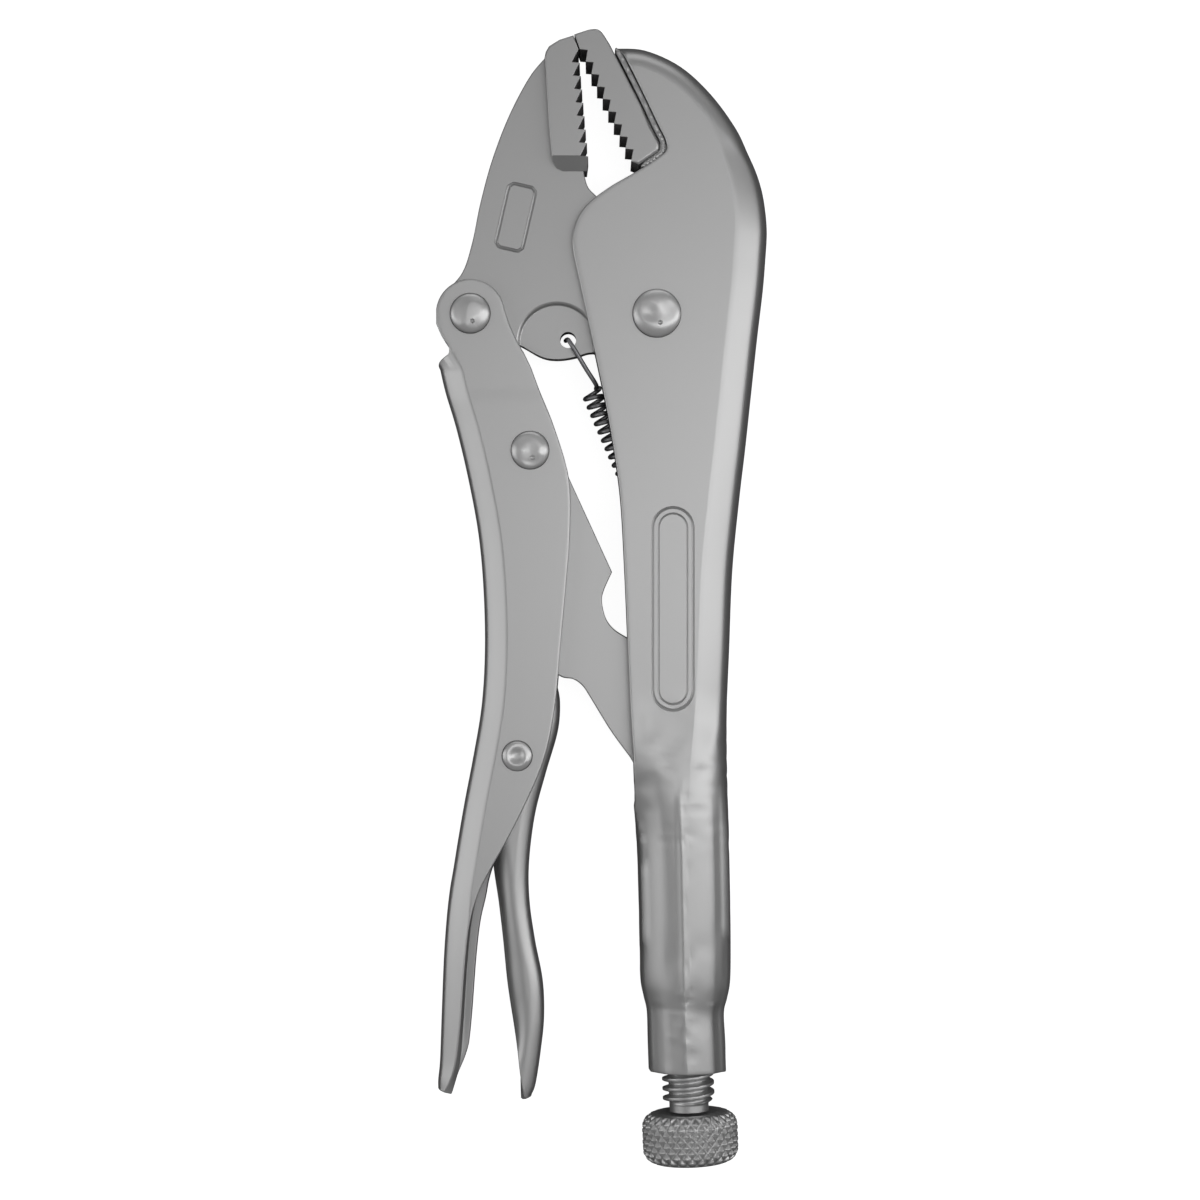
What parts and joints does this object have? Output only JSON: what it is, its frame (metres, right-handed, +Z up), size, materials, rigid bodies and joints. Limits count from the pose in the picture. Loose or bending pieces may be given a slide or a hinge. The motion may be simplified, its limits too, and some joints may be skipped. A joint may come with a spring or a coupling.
{
  "type": "locking pliers",
  "caption": "Straight-jaw locking pliers with a folded steel handle, over-centre toggle lever, release lever, return spring and knurled adjusting screw.",
  "frame": {"origin": "bottom centre of the bounding box: the surface the tool lies on, at the middle of its width and length", "axes": "+Y along the tool towards the jaw tips, +X towards the fixed handle, +Z up through the thickness"},
  "size_m": [0.0722, 0.2472, 0.021],
  "materials": {
    "plated_sheet": "satin nickel plate over folded sheet steel",
    "forged_steel": "satin nickel plate over forged steel",
    "weld": "plated weld bead",
    "spring_wire": "drawn spring wire",
    "turned_steel": "plated, turned and knurled steel",
    "rivet_steel": "bright plated rivet heads"
  },
  "bodies": {
    "fixed_handle": {"fixed_handle": "plated_sheet", "fixed_jaw": "forged_steel", "jaw_weld_front": "weld", "jaw_weld_back": "weld", "jaw_rivet": "rivet_steel", "return_spring": "spring_wire"},
    "movable_jaw": {"movable_jaw": "forged_steel"},
    "lever": {"lever": "plated_sheet", "lever_rivet": "rivet_steel", "toggle_rivet": "rivet_steel", "release_rivet": "rivet_steel"},
    "toggle_link": {"toggle_link": "plated_sheet"},
    "release_lever": {"release_lever": "plated_sheet"},
    "screw_slide": {"screw_tip": "turned_steel"},
    "adjusting_screw": {"adjusting_screw": "turned_steel", "knurled_knob": "turned_steel"}
  },
  "joints": [
    {"name": "jaw_pivot", "type": "hinge", "parent": "fixed_handle", "child": "movable_jaw", "pos_m": [0.01181, 0.06191, 0.0105], "axis": [0, 0, 1], "range_deg": [0, 15.6], "deforming": ["return_spring"]},
    {"name": "lever_pivot", "type": "hinge", "parent": "movable_jaw", "child": "lever", "pos_m": [-0.02869, 0.06191, 0.0105], "axis": [0, 0, 1], "range_deg": [-60, 0]},
    {"name": "toggle_pivot", "type": "hinge", "parent": "lever", "child": "toggle_link", "pos_m": [-0.01569, 0.03222, 0.0105], "axis": [0, 0, 1], "range_deg": [0, 63.6]},
    {"name": "release_pivot", "type": "hinge", "parent": "lever", "child": "release_lever", "pos_m": [-0.01849, -0.03408, 0.0105], "axis": [0, 0, 1], "range_deg": [-4, 0]},
    {"name": "screw_travel", "type": "slide", "parent": "fixed_handle", "child": "screw_slide", "axis": [0.0386, -0.9993, 0], "range_m": [0, 0.035]},
    {"name": "screw_turn", "type": "hinge", "parent": "screw_slide", "child": "adjusting_screw", "pos_m": [0.01641, -0.04378, 0.0105], "axis": [0.0386, -0.9993, 0], "range_deg": [0, 6001]}
  ],
  "couplings": [
    {"joint": "jaw_pivot", "follows": "lever_pivot", "ratio": -0.26},
    {"joint": "toggle_pivot", "follows": "lever_pivot", "ratio": -1.06},
    {"joint": "screw_turn", "follows": "screw_travel", "rad_per_m": 2992}
  ]
}
